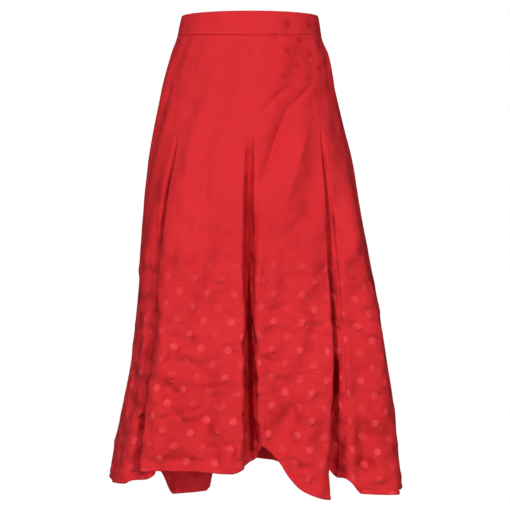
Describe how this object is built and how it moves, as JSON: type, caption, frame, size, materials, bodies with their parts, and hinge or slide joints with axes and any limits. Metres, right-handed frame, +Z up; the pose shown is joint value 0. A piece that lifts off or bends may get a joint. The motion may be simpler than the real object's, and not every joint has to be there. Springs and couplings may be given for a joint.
{
  "type": "midi skirt",
  "caption": "Worn-form midi skirt with a shaped waistband, eight panels, inverted pleats open below the hip, an uneven wavy hem and a concealed zip at the back.",
  "frame": {"origin": "middle of the waist opening at the waistband's top edge, where a wearer's waist holds the skirt", "axes": "+Z up along the wearer's body, -Y the skirt's front, +X the right-hand side seen from the front"},
  "size_m": [0.4921, 0.4136, 0.8239],
  "materials": {
    "red_jacquard": "tomato red woven jacquard with tonal satin dots, soft sheen",
    "zip_tape": "matte woven red tape",
    "zip_enamel": "red enamel on die-cast metal"
  },
  "bodies": {
    "skirt": {"front_side_left": "red_jacquard", "front_centre_left": "red_jacquard", "front_centre_right": "red_jacquard", "front_side_right": "red_jacquard", "back_side_right": "red_jacquard", "back_centre_right": "red_jacquard", "back_centre_left": "red_jacquard", "back_side_left": "red_jacquard", "waistband_front": "red_jacquard", "waistband_back_right": "red_jacquard", "waistband_back_left": "red_jacquard", "zip_tape": "zip_tape", "zip_slider": "zip_enamel"},
    "zip_pull": {"zip_pull": "zip_enamel"}
  },
  "joints": [
    {"name": "zip_pull_swing", "type": "hinge", "parent": "skirt", "child": "zip_pull", "pos_m": [0, 0.09319, -0.009], "axis": [1, 0, 0], "range_deg": [0, 160]}
  ]
}
